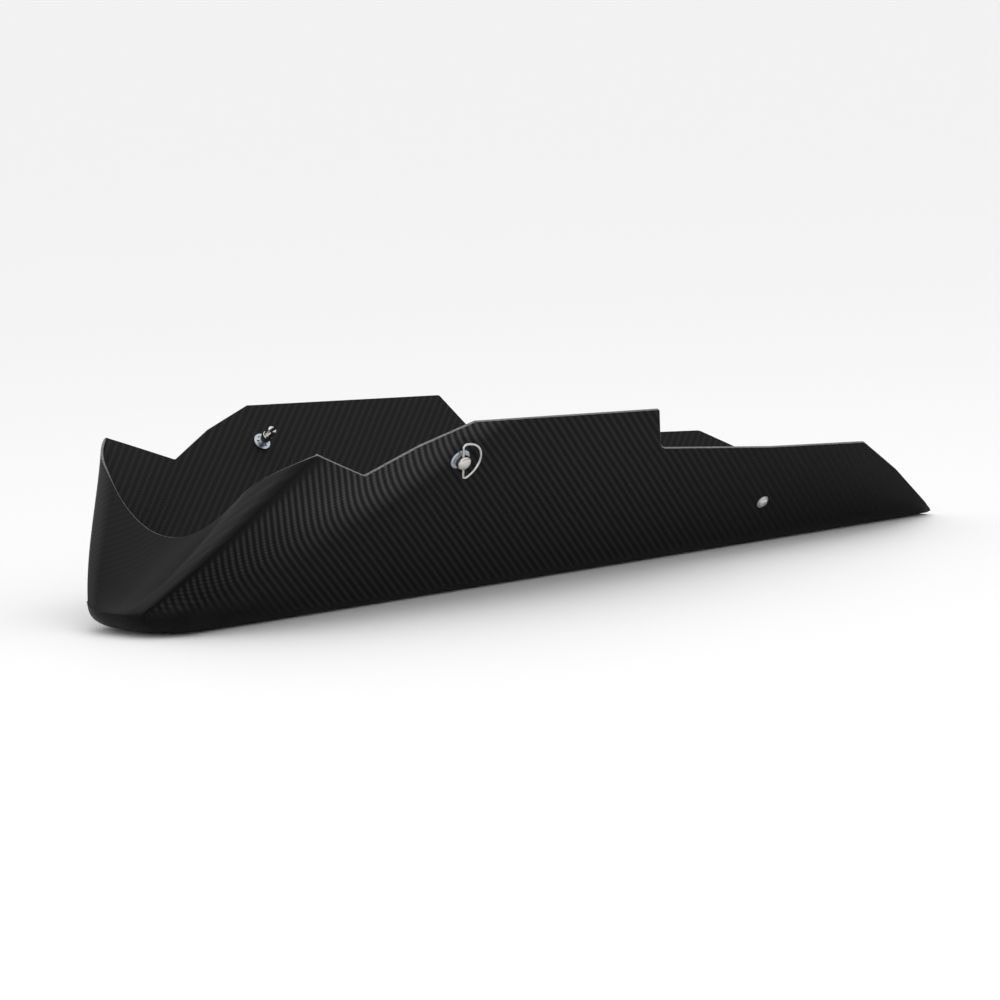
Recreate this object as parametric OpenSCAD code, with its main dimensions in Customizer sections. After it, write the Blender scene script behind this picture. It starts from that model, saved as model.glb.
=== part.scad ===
// Carbon-laminate belly pan for a motorcycle: an open trough with a scooped nose, held by two
// quarter-turn studs with wire rings at the front and two socket screws at the rear.
// X points forward, Y to the left, Z up. The origin is under the middle of the pan, on its floor.

/* [Pan] */
// Overall length from the tail edge to the nose lip
pan_len = 793; // [700:1:900]
// Half of the floor's width, up to the sharp corner under the rounded chine
floor_half = 52; // [44:1:64]
// Lean of the side walls away from the vertical
flare = 33.4; // [26:0.2:38]
// Distance that the rounded chine takes up on the floor and on the wall
chine = 12; // [8:0.5:15]
// Thickness of the laminate
laminate = 2; // [1.4:0.1:2.6]

/* [Side outline] */
// Height of the wall where the tail edge ends
tail_tip_h = 3; // [2:0.5:5]
// Distance of the bend in the tail edge from the tail
tail_bend_x = 66; // [50:1:80]
// Height of the bend in the tail edge
tail_bend_h = 46; // [36:1:56]
// Distance of the rear top corner from the tail
tail_top_x = 118; // [100:1:142]
// Height of the rear top corner
tail_top_h = 75; // [60:1:80]
// Corner radius at the rear top corner
tail_top_r = 12; // [5:1:20]
// Distance of the low shelf's middle from the tail
shelf_x = 225; // [180:1:250]
// Height of the shelf's middle
shelf_h = 83; // [70:1:88]
// Distance of the foot of the step from the nose
step_foot_x = 446; // [430:1:460]
// Height of the foot of the step
step_foot_h = 96; // [85:1:105]
// Inner radius at the foot of the step
step_foot_r = 11; // [4:1:14]
// Distance of the top of the step from the nose
step_top_x = 428; // [400:1:429]
// Height of the top of the step
step_top_h = 129; // [118:1:138]
// Corner radius at the top of the step
step_top_r = 3; // [2:0.5:6]
// Distance of the highest point of the side from the nose
rise_x = 240; // [222:1:256]
// Height of the highest point of the side
rise_h = 140; // [133:1:150]
// Distance from the nose of the bend between the highest point and the notch
slope_x = 193; // [182:1:204]
// Height of that bend
slope_h = 126; // [120:1:132]
// Distance of the side notch from the nose
notch_x = 151; // [140:1:162]
// Height of the bottom of the side notch
notch_h = 108; // [98:1:114]
// Radius in the bottom of the side notch
notch_r = 4; // [2:0.5:8]
// Distance of the nose peaks from the nose lip
peak_x = 97; // [86:1:108]
// Height of the nose peaks
peak_h = 130.5; // [122:0.5:140]
// Distance of the nose peaks inboard of the side wall's plane
peak_inset = 2.2; // [0:0.2:5]

/* [Nose] */
// Height of the lip where the scooped face begins
lip_h = 17; // [14:0.5:20]
// Distance behind the lip at which the nose bottom starts to curve up
nose_run = 34; // [28:1:42]
// Half width of the lip, up to the foot of the crease
lip_half = 37; // [32:1:42]
// Distance of the crease's foot behind the lip
lip_back = 4.5; // [2:0.5:8]
// Distance of the fold's foot behind the lip
fold_back = 22; // [16:0.5:28]
// Outward bow of the crease between the face and the cheek
crease_bow = 5; // [0:0.5:7]
// Sag of the soft fold towards the tail, from its straight line
fold_sag = 8; // [0:0.5:14]
// Distance of the scoop's lowest point behind the lip
scoop_back = 57.5; // [46:0.5:68]
// Height of the scoop's lowest point
scoop_h = 67; // [56:0.5:78]
// Half width of the scoop at its shoulder
scoop_half = 90; // [76:1:105]
// Height of the scoop's shoulder
scoop_shoulder_h = 109; // [100:0.5:118]
// Distance over which the scoop's shoulder is rounded on each side
scoop_blend = 12; // [6:1:16]
// Depth of the hollow in the scooped face
face_hollow = 3; // [0:0.5:6]
// Distance over which the fold is rounded on each side of its line
fold_round = 25; // [18:1:34]

/* [Quarter-turn fasteners] */
// Distance of the studs from the nose
stud_x = 238; // [200:0.5:300]
// Height of the studs on the wall
stud_h = 111.5; // [80:0.5:118]
// Diameter of the stud's shank
shank_d = 7.9; // [6:0.1:9.4]
// Reach of the shank behind the outside of the wall
shank_reach = 22; // [18:0.5:27]
// Depth of the groove for the retaining ring
groove_depth = 0.6; // [0.5:0.05:0.8]
// Diameter of the stud's round head
head_d = 12; // [10:0.1:14.5]
// Height of the stud's head
head_h = 7.4; // [6.6:0.1:8.8]
// Rounding of the head's outer edge
head_round = 3.2; // [2.6:0.1:3.8]
// Metal of the head under the wire's hole
head_floor = 1.8; // [1.4:0.1:2.1]
// Width of the cam slot in the stud's tip
slot_w = 2.6; // [2:0.1:3.1]
// Depth of the cam slot
slot_depth = 6.5; // [5:0.5:7.8]
// Depth by which the slotted tip is slimmer than the shank
tip_relief = 0.4; // [0.3:0.05:0.5]
// Diameter of the grommet's outer flange
grommet_d = 17; // [14.6:0.1:20]
// Thickness of the grommet's outer flange
grommet_t = 1.2; // [1:0.1:1.5]
// Diameter of the grommet's barrel in the wall
barrel_d = 10; // [9.6:0.1:12]
// Diameter of the flange rolled over behind the wall
rolled_d = 13; // [12.2:0.1:15.4]
// Thickness of the rolled flange
rolled_t = 0.8; // [0.6:0.05:1]
// Diameter of the retaining ring on the shank
keeper_d = 14; // [12:0.1:16.6]
// Thickness of the retaining ring
keeper_t = 0.8; // [0.6:0.05:1]
// Diameter of the ring's wire
wire_d = 2.2; // [1.8:0.1:2.6]
// Outer length of the wire ring along its straight leg
ring_len = 36.5; // [30:0.5:42]
// Outer reach of the wire ring from its leg's centre line
ring_reach = 17; // [14.5:0.5:20]
// Corner radius of the ring's centre line where the leg meets the bow
ring_corner = 2.4; // [2:0.1:3]
// Lean of the ring's leg towards the nose
ring_lean = 20; // [0:1:40]

/* [Rear screws] */
// Distance of the rear screws from the tail
screw_x = 209; // [170:1:249]
// Height of the rear screws on the wall
screw_h = 36; // [30:0.5:44]
// Diameter of the screw's shank
screw_d = 5; // [4:0.1:5.9]
// Length of the screw under its head
screw_len = 16; // [13.5:0.5:20]
// Diameter of the button head
button_d = 9.5; // [8:0.1:11.4]
// Depth of the plain neck under the head, below the thread's crest
neck_depth = 0.4; // [0.3:0.05:0.5]
// Height of the button head
button_h = 2.8; // [2.3:0.1:3.4]
// Width across the flats of the hexagon socket
socket_af = 3; // [2.5:0.1:3.6]
// Depth of the hexagon socket
socket_depth = 1.7; // [1.4:0.1:2]
// Outer diameter of the flat washer
washer_d = 11; // [10:0.1:13]
// Thickness of the flat washer
washer_t = 0.8; // [0.6:0.1:1]
// Outer diameter of the soft washer behind the wall
pad_d = 12; // [10:0.1:14.4]
// Thickness of the soft washer
pad_t = 1.5; // [1.2:0.1:1.9]

/* [Clearances] */
// Gap all round a shaft that turns in a hole
running_gap = 0.06; // [0.05:0.01:0.08]
// Gap between faces that pass each other
face_gap = 0.3; // [0.25:0.01:0.36]
// Gap all round a fixed part in its hole
fixed_gap = 0.1; // [0.08:0.01:0.12]

/* [Hidden] */
$fn = 48;

// Mesh of the laminate
arc_rows = 5;
rows = 11;
corner_steps = 4;
column_step = 55;
fan_columns = 10;
fan_crowding = 1.5;
cheek_step = 14;
face_columns = 14;

// Ends of the pan along X
nose = pan_len / 2;
tail = -pan_len / 2;

// Lowest height of the wall that keeps its straight part
edge_z = chine * cos(flare);
bend_share = 1.8;
bend_len = chine * bend_share;

// Places on the wall, as X and height
stud_at = [nose - stud_x, stud_h];
screw_at = [tail + screw_x, screw_h];

// Levels along a stud, outwards from the outside of the wall
head_base = grommet_t + running_gap;
leg_level = head_base + wire_d / 2 + running_gap + head_floor;
rolled_back = -laminate - rolled_t;
keeper_front = rolled_back - face_gap;
groove_back = keeper_front - keeper_t - face_gap;

// Round end of the cam slot, and length of the slimmer tip that holds the slot
cam_d = slot_w + 1;
cam_cover = 0.7;
tip_len = slot_depth + cam_d / 2 + cam_cover;

// Level on a rear screw where its plain neck ends, behind the soft washer
neck_back = -laminate - pad_t - face_gap;

// Outline of the side above the flat wall, from the tail to the highest point
side_corners = [
    [tail, tail_tip_h, 0],
    [tail + tail_bend_x, tail_bend_h, 0],
    [tail + tail_top_x, tail_top_h, tail_top_r],
    [tail + shelf_x, shelf_h, 0],
    [nose - step_foot_x, step_foot_h, step_foot_r],
    [nose - step_top_x, step_top_h, step_top_r],
    [nose - rise_x, rise_h, 0]
];

// Outline of the cheek, from the highest point to the nose peak
cheek_corners = [
    [nose - rise_x, rise_h, 0],
    [nose - slope_x, slope_h, 0],
    [nose - notch_x, notch_h, notch_r],
    [nose - peak_x, peak_h, 0]
];

function unit(v) = v / norm(v);
function lerp(a, b, t) = a + (b - a) * t;
function flipped(p) = [p[0], -p[1], p[2]];
function plan(c) = [c[0], c[1]];

// A point on a quadratic curve from a to e with the corner f
function bend(a, f, e, s) = (1 - s) * (1 - s) * a + 2 * s * (1 - s) * f + s * s * e;

// Arc of radius r that rounds the corner b between a and c
function rounded_corner(a, b, c, r) =
    let (u = unit(a - b), v = unit(c - b), half = acos(u * v) / 2)
    let (centre = b + unit(u + v) * r / sin(half), first = unit(b + u * r / tan(half) - centre))
    let (last = unit(b + v * r / tan(half) - centre), sweep = 180 - 2 * half)
    [for (i = [0:corner_steps])
        let (t = i / corner_steps)
        centre + r * (sin((1 - t) * sweep) * first + sin(t * sweep) * last) / sin(sweep)];

// Outline with its corners rounded
function rounded(corners) = [
    for (i = [0:len(corners) - 1])
        let (sharp = corners[i][2] == 0, here = plan(corners[i]))
        each sharp
            ? [here]
            : rounded_corner(plan(corners[i - 1]), here, plan(corners[i + 1]), corners[i][2])
];

// The same outline with no stretch longer than step
function refined(line, step) = [
    for (i = [0:len(line) - 2])
        let (n = ceil(norm(line[i + 1] - line[i]) / step))
        for (k = [0:n - 1]) lerp(line[i], line[i + 1], k / n),
    line[len(line) - 1]
];

// Half width of the wall's plane at height z
function wall_y(z) = floor_half + z * tan(flare);

// A point of the flared section, q along it from the start of the chine
function section_point(x, q) =
    let (a = [x, floor_half - chine, 0], f = [x, floor_half, 0], e = [x, wall_y(edge_z), edge_z])
    let (up = unit(e - f))
    q < bend_len ? bend(a, f, e, q / bend_len) : e + up * (q - bend_len);

// One column of points up the wall at x, cut off at height h
function wall_column(x, h) =
    let (whole = h < edge_z ? bend_len * sqrt(h / edge_z) : bend_len + (h - edge_z) / cos(flare))
    let (low = min(bend_len, whole * arc_rows / rows))
    [for (j = [0:rows])
        section_point(x, j < arc_rows
            ? low * j / arc_rows
            : low + (whole - low) * (j - arc_rows) / (rows - arc_rows))];

// Where the leaning columns of the wall start, behind the highest point of the side
fan_lead = 28;
wall_foot = nose - rise_x - fan_lead;

// Rise of the fold's and the crease's feet above the lip
foot_lift = 2.5;

// Setbacks of the fold's foot on the floor, and of its sharp corner in plan
fold_floor_back = 12;
fold_floor_in = 2;
fold_corner_out = [3, 1];

// Setbacks of the crease's foot on the floor, and of its sharp corner in plan
crease_floor_back = 5;
crease_floor_share = 0.5;
crease_corner_out = [1, -1];

// Where the fold, the crease and the middle of the nose leave the floor (a), the sharp corner
// that their curve rounds (f), and where the curve ends (e)
fold_a = [nose - nose_run - fold_floor_back, floor_half - chine - fold_floor_in, 0];
fold_f = [nose - fold_back + fold_corner_out[0], floor_half + fold_corner_out[1], 0];
fold_e = [nose - fold_back, wall_y(lip_h + foot_lift), lip_h + foot_lift];
crease_a = [nose - nose_run - crease_floor_back, lip_half * crease_floor_share, 0];
crease_f = [nose - lip_back + crease_corner_out[0], lip_half + crease_corner_out[1], 0];
crease_e = [nose - lip_back, lip_half, lip_h + foot_lift];
middle_a = [nose - nose_run, 0, 0];
middle_f = [nose, 0, 0];
middle_e = [nose, 0, lip_h];
peak_y = wall_y(peak_h) - peak_inset;

// Line of the fold between the wall and the cheek, before it is rounded, at height z
function fold_point(z) =
    let (s = (z - fold_e[2]) / (rise_h - fold_e[2]))
    [lerp(fold_e[0], nose - rise_x, s) - 4 * s * (1 - s) * fold_sag, wall_y(z), z];

// Outward swell of the crease, which is fullest a third of the way up
function crease_swell(s) = [0, 6.75 * s * (1 - s) * (1 - s) * crease_bow, 0];

// Sharp crease between the cheek and the scooped face at height z
function crease_point(z) =
    let (s = (z - crease_e[2]) / (peak_h - crease_e[2]))
    lerp(crease_e, [nose - peak_x, peak_y, peak_h], s) + crease_swell(s);

// Shift that rounds the fold at height z, for a point d ahead of its line
fold_span = 0.45;
function fold_shift(z, d) =
    let (f = fold_point(z), c = crease_point(z), ahead = unit(c - f))
    let (r = min(fold_round, fold_span * norm(c - f)))
    abs(d) >= r
        ? [0, 0, 0]
        : bend(f - [r, 0, 0], f, f + r * ahead, (d + r) / (2 * r))
            - f - (d < 0 ? [d, 0, 0] : d * ahead);

// Rounded edge of the floor, from a to e
function foot_rows(a, f, e) = [for (j = [0:arc_rows - 1]) bend(a, f, e, j / arc_rows)];

// Share of the way up that each row above the rounded edge has
upper_rows = [for (j = [arc_rows:rows]) (j - arc_rows) / (rows - arc_rows)];

// A point of the flat wall at height z, u of the way from its last upright column to the fold
function fan_point(u, z) =
    let (x = lerp(wall_foot, fold_point(z)[0], u))
    [x, wall_y(z), z] + fold_shift(z, x - fold_point(z)[0]);

// A point of the cheek at height z, u of the way from the fold to the crease
function cheek_point(u, z) =
    let (f = fold_point(z), c = crease_point(z))
    lerp(f, c, u) + fold_shift(z, u * norm(c - f));

// A column of the flat wall at u of the way from its last upright column to the fold
function fan_column(u) =
    let (z = lerp(edge_z, fold_e[2], pow(u, 6)), top = lerp(upper_h(wall_foot), rise_h, u))
    let (a = lerp([wall_foot, floor_half - chine, 0], fold_a, u))
    let (f = lerp([wall_foot, floor_half, 0], fold_f, u))
    let (shift = fold_shift(z, (1 - u) * (wall_foot - fold_point(z)[0])))
    concat(
        foot_rows(a, f + shift, fan_point(u, z)),
        [for (s = upper_rows) fan_point(u, lerp(z, top, s))]);

// A column of the cheek that ends at the point [x, height] of its outline
function cheek_column(p) =
    let (f = fold_point(p[1]), c = crease_point(p[1]), u = (p[0] - f[0]) / (c[0] - f[0]))
    let (z = lerp(fold_e[2], crease_e[2], u))
    let (shift = fold_shift(z, u * norm(crease_point(z) - fold_point(z))))
    concat(
        foot_rows(lerp(fold_a, crease_a, u), lerp(fold_f, crease_f, u) + shift, cheek_point(u, z)),
        [for (s = upper_rows) cheek_point(u, lerp(z, p[1], s))]);

// Height of the scoop's edge at a distance y from the middle, first with a sharp shoulder
function sharp_scoop(y) = y < scoop_half
    ? lerp(scoop_h, scoop_shoulder_h, y * y / (scoop_half * scoop_half))
    : lerp(scoop_shoulder_h, peak_h, (y - scoop_half) / (peak_y - scoop_half));
function scoop_height(y) =
    let (s = (y - scoop_half + scoop_blend) / (2 * scoop_blend))
    s <= 0 || s >= 1 ? sharp_scoop(y)
        : bend(
            sharp_scoop(scoop_half - scoop_blend), scoop_shoulder_h,
            sharp_scoop(scoop_half + scoop_blend), s);

// Edge of the scoop at w of the way from its middle to the peak
function scoop_edge(w) =
    let (y = w * peak_y, fall = (peak_x - scoop_back) / 2)
    [nose - scoop_back - fall * (w * w + pow(w, 6)), y, scoop_height(y)];

// A column of the scooped face at w of the way from its middle to the crease
function face_column(w) =
    let (wider = pow(w, 3))
    let (e = [lerp(middle_e[0], crease_e[0], wider), lip_half * w, lerp(lip_h, crease_e[2], wider)])
    let (f = [lerp(middle_f[0], crease_f[0], wider), crease_f[1] * w, 0])
    let (a = [lerp(middle_a[0], crease_a[0], w * w), crease_a[1] * w, 0])
    concat(
        foot_rows(a, f, e),
        [for (s = upper_rows)
            let (hollow = 4 * s * (1 - s) * (1 - w) * face_hollow)
            lerp(e, scoop_edge(w), s) + w * crease_swell(s) - [hollow, 0, hollow]]);

// Height of the straight upper edge between the step and the highest point
function upper_h(x) = lerp(step_top_h, rise_h, (x - nose + step_top_x) / (step_top_x - rise_x));

side_line = refined(rounded(side_corners), column_step);
cheek_line = refined(rounded(cheek_corners), cheek_step);

wall_columns = [for (p = side_line) if (p[0] < wall_foot) wall_column(p[0], p[1])];
fan_columns_pts = [
    for (i = [0:fan_columns - 1]) fan_column(1 - pow(1 - i / fan_columns, fan_crowding))
];
cheek_columns_pts = [for (i = [0:len(cheek_line) - 2]) cheek_column(cheek_line[i])];
face_columns_pts = [for (i = [0:face_columns]) face_column(1 - i / face_columns)];

left_half = concat(wall_columns, fan_columns_pts, cheek_columns_pts, face_columns_pts);
middle = len(left_half) - 1;
outer = concat(left_half, [for (k = [1:middle]) [for (p = left_half[middle - k]) flipped(p)]]);
last_col = len(outer) - 1;
stride = rows + 1;

// Outward direction at a point of the outer skin
function outward(k, j) =
    let (u = outer[min(k + 1, last_col)][j] - outer[max(k - 1, 0)][j])
    let (v = outer[k][min(j + 1, rows)] - outer[k][max(j - 1, 0)])
    j == 0 ? [0, 0, -1] : unit(cross(v, u));

// Keeps a point of the inner skin from passing the tail
function in_span(p) = [max(p[0], tail), p[1], p[2]];

inner = [
    for (k = [0:last_col])
        [for (j = [0:rows]) in_span(outer[k][j] - laminate * outward(k, j))]
];

// Index of a point in the list that holds the outer skin and then the inner skin
function out_at(k, j) = k * stride + j;
function in_at(k, j) = (last_col + 1 + k) * stride + j;

skin_points = [for (column = outer) each column, for (column = inner) each column];
skin_faces = [
    for (k = [0:last_col - 1], j = [0:rows - 1]) each [
        [out_at(k, j), out_at(k, j + 1), out_at(k + 1, j + 1)],
        [out_at(k, j), out_at(k + 1, j + 1), out_at(k + 1, j)],
        [in_at(k, j), in_at(k + 1, j + 1), in_at(k, j + 1)],
        [in_at(k, j), in_at(k + 1, j), in_at(k + 1, j + 1)]
    ]
];
floor_faces = [
    for (k = [0:middle - 1])
        let (a = k, b = k + 1, c = last_col - k - 1, d = last_col - k)
        each concat(
            [[out_at(a, 0), out_at(b, 0), out_at(d, 0)], [in_at(a, 0), in_at(d, 0), in_at(b, 0)]],
            b == c ? [] : [
                [out_at(b, 0), out_at(c, 0), out_at(d, 0)],
                [in_at(b, 0), in_at(d, 0), in_at(c, 0)]
            ])
];
rim_faces = [
    for (k = [0:last_col - 1]) each [
        [out_at(k, rows), in_at(k, rows), in_at(k + 1, rows)],
        [out_at(k, rows), in_at(k + 1, rows), out_at(k + 1, rows)]
    ],
    for (j = [0:rows - 1]) each [
        [out_at(0, j), in_at(0, j), in_at(0, j + 1)],
        [out_at(0, j), in_at(0, j + 1), out_at(0, j + 1)],
        [out_at(last_col, j), in_at(last_col, j + 1), in_at(last_col, j)],
        [out_at(last_col, j), out_at(last_col, j + 1), in_at(last_col, j + 1)]
    ],
    [out_at(0, 0), in_at(last_col, 0), in_at(0, 0)],
    [out_at(0, 0), out_at(last_col, 0), in_at(last_col, 0)]
];

// Puts its children on the wall at a place, with +Z out of the wall and +X forward
module on_wall(at, side) {
    mirror([0, side < 0 ? 1 : 0, 0])
        translate([at[0], wall_y(at[1]), at[1]])
            rotate([-90 - flare, 0, 0])
                children();
}

// Puts its children on a stud, turned so that +Y runs along the wire ring's leg
module on_stud(side) {
    on_wall(stud_at, side) rotate([0, 0, 180 + ring_lean]) children();
}

// A hole through the wall
module wall_hole(at, side, d) {
    on_wall(at, side) translate([0, 0, -3 * laminate]) cylinder(h = 6 * laminate, d = d);
}

module pan_shell() {
    color([0.09, 0.09, 0.1])
        difference() {
            polyhedron(points = skin_points, faces = concat(skin_faces, floor_faces, rim_faces));
            for (side = [-1, 1]) {
                wall_hole(stud_at, side, barrel_d + 2 * fixed_gap);
                wall_hole(screw_at, side, screw_d + 2 * fixed_gap);
            }
        }
}

// Flanged bush that lines the stud's hole and is rolled over behind the wall
module grommet(side) {
    bore_r = shank_d / 2 + running_gap;
    color([0.55, 0.6, 0.66])
        on_stud(side)
            rotate_extrude()
                polygon([
                    [bore_r, rolled_back], [rolled_d / 2, rolled_back], [rolled_d / 2, -laminate],
                    [barrel_d / 2, -laminate], [barrel_d / 2, 0], [grommet_d / 2, 0],
                    [grommet_d / 2, grommet_t / 2], [grommet_d / 2 - grommet_t, grommet_t],
                    [bore_r, grommet_t]
                ]);
}

// Quarter-turn stud: domed head with a cross hole, shank, slimmer tip with a cam slot
module stud(side) {
    tip = -shank_reach;
    chamfer = 1;
    tip_d = shank_d - 2 * tip_relief;
    color([0.8, 0.79, 0.76])
        on_stud(side)
            difference() {
                union() {
                    translate([0, 0, head_base]) cylinder(h = head_h - head_round, d = head_d);
                    translate([0, 0, head_base + head_h - head_round])
                        rotate_extrude() {
                            square([head_d / 2 - head_round, head_round]);
                            translate([head_d / 2 - head_round, 0])
                                intersection() {
                                    circle(r = head_round);
                                    square(head_round);
                                }
                        }
                    translate([0, 0, tip + tip_len])
                        cylinder(h = shank_reach - tip_len + head_base, d = shank_d);
                    translate([0, 0, tip + chamfer]) cylinder(h = tip_len - chamfer, d = tip_d);
                    translate([0, 0, tip])
                        cylinder(h = chamfer, d1 = tip_d - 2 * chamfer, d2 = tip_d);
                }
                translate([0, 0, leg_level])
                    rotate([90, 0, 0])
                        cylinder(h = head_d + 2, d = wire_d + 2 * running_gap, center = true);
                translate([0, 0, groove_back])
                    difference() {
                        cylinder(h = keeper_front - groove_back, d = 2 * shank_d);
                        cylinder(h = keeper_front - groove_back, d = shank_d - 2 * groove_depth);
                    }
                translate([-shank_d, -slot_w / 2, tip - 1]) cube([2 * shank_d, slot_w, slot_depth + 1]);
                translate([0, 0, tip + slot_depth])
                    rotate([0, 90, 0])
                        cylinder(h = 2 * shank_d, d = cam_d, center = true);
            }
}

// Wire ring: a straight leg through the stud's head, two rounded corners and a round bow
module wire_ring(side) {
    reach = ring_reach - wire_d / 2;
    leg_half = ring_len / 2 - wire_d / 2 - ring_corner;
    a = ring_corner - reach;
    bow_r = (ring_corner * ring_corner - a * a - leg_half * leg_half) / (2 * (a + ring_corner));
    bow_x = reach - bow_r;
    turn = atan2(leg_half, ring_corner - bow_x);
    bow_end = [bow_x + bow_r * cos(turn), bow_r * sin(turn)];
    seam = 0.06;
    color([0.82, 0.8, 0.78])
        on_stud(side)
            translate([0, 0, leg_level]) {
                rotate([90, 0, 0]) cylinder(h = 2 * leg_half, d = wire_d, center = true);
                wire_arc([ring_corner, leg_half], ring_corner, turn, 180);
                wire_arc([bow_x, 0], bow_r, -turn, turn);
                wire_arc([ring_corner, -leg_half], ring_corner, 180, 360 - turn);
                for (end = [-1, 1], at = [[0, leg_half], bow_end])
                    translate([at[0], end * at[1], 0]) sphere(d = wire_d + seam);
            }
}

// Round wire along an arc
module wire_arc(centre, r, from, to) {
    translate([centre[0], centre[1], 0])
        rotate([0, 0, from])
            rotate_extrude(angle = to - from) translate([r, 0]) circle(d = wire_d);
}

// Ring pressed onto the shank behind the wall, so that the stud stays with the pan
module retaining_ring(side) {
    color([0.6, 0.6, 0.62])
        on_stud(side)
            translate([0, 0, keeper_front - keeper_t])
                difference() {
                    cylinder(h = keeper_t, d = keeper_d);
                    translate([0, 0, -1])
                        cylinder(h = keeper_t + 2, d = shank_d - 2 * groove_depth);
                }
}

// Button-head screw with a hexagon socket
module rear_screw(side) {
    dome_r = (button_d * button_d / 4 + button_h * button_h) / (2 * button_h);
    color([0.78, 0.77, 0.74])
        on_wall(screw_at, side)
            translate([0, 0, washer_t])
                difference() {
                    union() {
                        rotate_extrude()
                            intersection() {
                                translate([0, button_h - dome_r]) circle(r = dome_r, $fn = 96);
                                square([button_d / 2, button_h]);
                            }
                        translate([0, 0, -screw_len])
                            cylinder(h = screw_len - washer_t + neck_back, d = screw_d);
                        translate([0, 0, neck_back - washer_t])
                            cylinder(h = washer_t - neck_back, d = screw_d - 2 * neck_depth);
                    }
                    translate([0, 0, button_h - socket_depth])
                        cylinder(h = socket_depth + 1, d = socket_af / cos(30), $fn = 6);
                }
}

// Flat ring on the screw, between two levels outwards from the wall
module screw_ring(side, from, to, d) {
    on_wall(screw_at, side)
        translate([0, 0, from])
            difference() {
                cylinder(h = to - from, d = d);
                translate([0, 0, -1]) cylinder(h = to - from + 2, d = screw_d + 2 * fixed_gap);
            }
}

module rear_washer(side) {
    color([0.7, 0.7, 0.72]) screw_ring(side, 0, washer_t, washer_d);
}

module rear_soft_washer(side) {
    color([0.1, 0.1, 0.1]) screw_ring(side, -laminate - pad_t, -laminate, pad_d);
}

pan_shell();
grommet(1);  // left_grommet
stud(1);  // left_stud
wire_ring(1);  // left_wire_ring
retaining_ring(1);  // left_retaining_ring
rear_screw(1);  // left_rear_screw
rear_washer(1);  // left_rear_washer
rear_soft_washer(1);  // left_rear_soft_washer
grommet(-1);  // right_grommet
stud(-1);  // right_stud
wire_ring(-1);  // right_wire_ring
retaining_ring(-1);  // right_retaining_ring
rear_screw(-1);  // right_rear_screw
rear_washer(-1);  // right_rear_washer
rear_soft_washer(-1);  // right_rear_soft_washer
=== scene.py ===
"""Motorcycle belly pan: carbon-laminate shell, quarter-turn studs with wire rings, rear screws."""
import math

import bpy
import bmesh
import numpy as np
from mathutils import Matrix, Vector


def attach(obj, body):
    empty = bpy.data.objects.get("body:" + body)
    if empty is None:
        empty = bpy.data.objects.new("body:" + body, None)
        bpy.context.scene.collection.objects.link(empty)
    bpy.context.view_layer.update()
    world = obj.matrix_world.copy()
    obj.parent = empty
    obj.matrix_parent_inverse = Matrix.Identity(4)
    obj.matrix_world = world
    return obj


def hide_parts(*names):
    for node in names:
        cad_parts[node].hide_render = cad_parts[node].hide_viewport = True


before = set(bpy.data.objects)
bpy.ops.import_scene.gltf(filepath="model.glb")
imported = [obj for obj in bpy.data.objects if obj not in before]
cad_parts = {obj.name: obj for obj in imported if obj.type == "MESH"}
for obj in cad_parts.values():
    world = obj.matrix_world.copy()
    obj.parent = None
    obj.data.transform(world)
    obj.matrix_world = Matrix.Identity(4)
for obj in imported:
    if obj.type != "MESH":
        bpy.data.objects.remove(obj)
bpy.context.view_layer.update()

MM = 0.001

# Sizes of the pan in millimetres, the same as the solids have
NOSE = 396.5
TAIL = -396.5
FLOOR_HALF = 52.0
FLARE = math.radians(33.4)
CHINE = 12.0
LAMINATE = 2.0
EDGE_Z = CHINE * math.cos(FLARE)
BEND_LEN = CHINE * 1.8
RISE_X, RISE_H = NOSE - 240, 140.0
STEP_X, STEP_H = NOSE - 428, 129.0
LIP_H, LIP_HALF, LIP_BACK = 17.0, 37.0, 4.5
FOLD_BACK, FOLD_SAG, FOLD_ROUND = 22.0, 8.0, 25.0
NOSE_RUN, CREASE_BOW, FACE_HOLLOW = 34.0, 5.0, 3.0
SCOOP_BACK, SCOOP_H, SCOOP_HALF, SHOULDER_H, SCOOP_BLEND = 57.5, 67.0, 90.0, 109.0, 12.0
PEAK_X, PEAK_H, PEAK_INSET = 97.0, 130.5, 2.2
WALL_FOOT = RISE_X - 28
EDGE_BREAK = 0.25
CREASE_ROUND = 1.0

# The cloth's ribs turn steeper ahead of the fold, from this distance behind it on
CLOTH_SHEAR, CLOTH_BLEND = 0.145, 30.0

# Millimetres of cloth to one unit of its coordinates, and across one tow
CLOTH_SCALE, TOW = 100.0, 1.87

# Painted sheen along the fold: how much brighter the cloth there is painted at these heights
PAINTED_SHEEN_HEIGHTS, PAINTED_SHEEN_LEVELS = (30, 50, 70, 90, 112), (-0.2, 0.3, 0.9, 2.2, 2.3)

SIDE_CORNERS = [
    (TAIL, 3, 0), (TAIL + 66, 46, 0), (TAIL + 118, 75, 12), (TAIL + 225, 83, 0),
    (NOSE - 446, 96, 11), (STEP_X, STEP_H, 3), (RISE_X, RISE_H, 0),
]
CHEEK_CORNERS = [
    (RISE_X, RISE_H, 0), (NOSE - 193, 126, 0), (NOSE - 151, 108, 4), (NOSE - PEAK_X, PEAK_H, 0),
]

# Rows of the shell's mesh: round the floor's edge, and above it
ARC_ROWS = 14
UP_ROWS = 26
ROWS = ARC_ROWS + UP_ROWS

# Its columns: steps along the rim, the gap left before the crease, and numbers of columns
SIDE_STEP, RIM_STEP, RIM_GAP = 16, 3.2, 1.2
FAN_COLUMNS, FACE_COLUMNS, CREASE_COLUMNS = 36, 44, 6

# The shell's material slots, with the keys of their materials
SIDE, BACK, CUT, FACE = range(4)
SHELL_KEYS = ("carbon", "carbon_back", "edge", "carbon_face_painted_light")


# Form of the shell
def lerp(a, b, t):
    return a + (b - a) * t


def unit(v):
    return v / np.linalg.norm(v, axis=-1, keepdims=True)


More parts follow.
